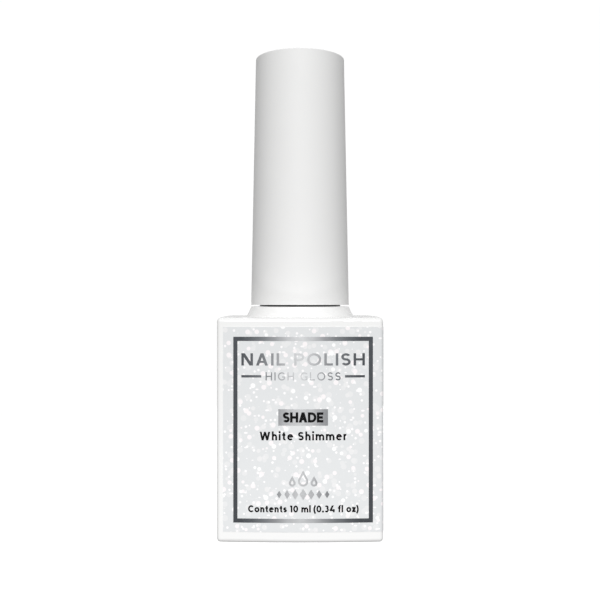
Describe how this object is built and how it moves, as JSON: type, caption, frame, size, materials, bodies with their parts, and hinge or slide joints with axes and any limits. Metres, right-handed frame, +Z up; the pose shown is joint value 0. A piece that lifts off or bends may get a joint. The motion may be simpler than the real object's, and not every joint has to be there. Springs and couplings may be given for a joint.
{
  "type": "nail polish bottle",
  "caption": "Square white lacquered glass bottle with a wraparound label, flared collar and tall tapered screw cap that lifts out its brush on a stem.",
  "frame": {"origin": "centre of the base, on the surface the bottle stands on", "axes": "+Z up along the neck and brush axis, -Y out of the front of the label, +X to the right of the front"},
  "size_m": [0.0274, 0.0274, 0.08],
  "materials": {
    "lacquered_glass": "gloss",
    "label_film": "satin",
    "silver_foil": "satin",
    "black_ink": "satin",
    "overcap_plastic": "matte",
    "closure_plastic": "satin",
    "washer_foam": "matte",
    "stem_plastic": "satin",
    "staple_wire": "satin",
    "nylon_bristle": "satin"
  },
  "bodies": {
    "bottle": {"bottle": "lacquered_glass", "label": "label_film"},
    "washer": {"sealing_washer": "washer_foam"},
    "cap": {"overcap": "overcap_plastic", "inner_cap": "closure_plastic", "brush_stem": "stem_plastic", "brush_anchor": "staple_wire", "bristle_tuft": "nylon_bristle"}
  },
  "joints": [
    {"name": "cap_turn", "type": "hinge", "parent": "washer", "child": "cap", "pos_m": [0, 0, 0.04861], "axis": [0, 0, 1], "range_deg": [0, 7560]},
    {"name": "cap_lift", "type": "slide", "parent": "bottle", "child": "washer", "axis": [0, 0, 1], "range_m": [0, 0.04445]}
  ],
  "couplings": [
    {"joint": "cap_turn", "follows": "cap_lift", "rad_per_m": 2968.4}
  ]
}
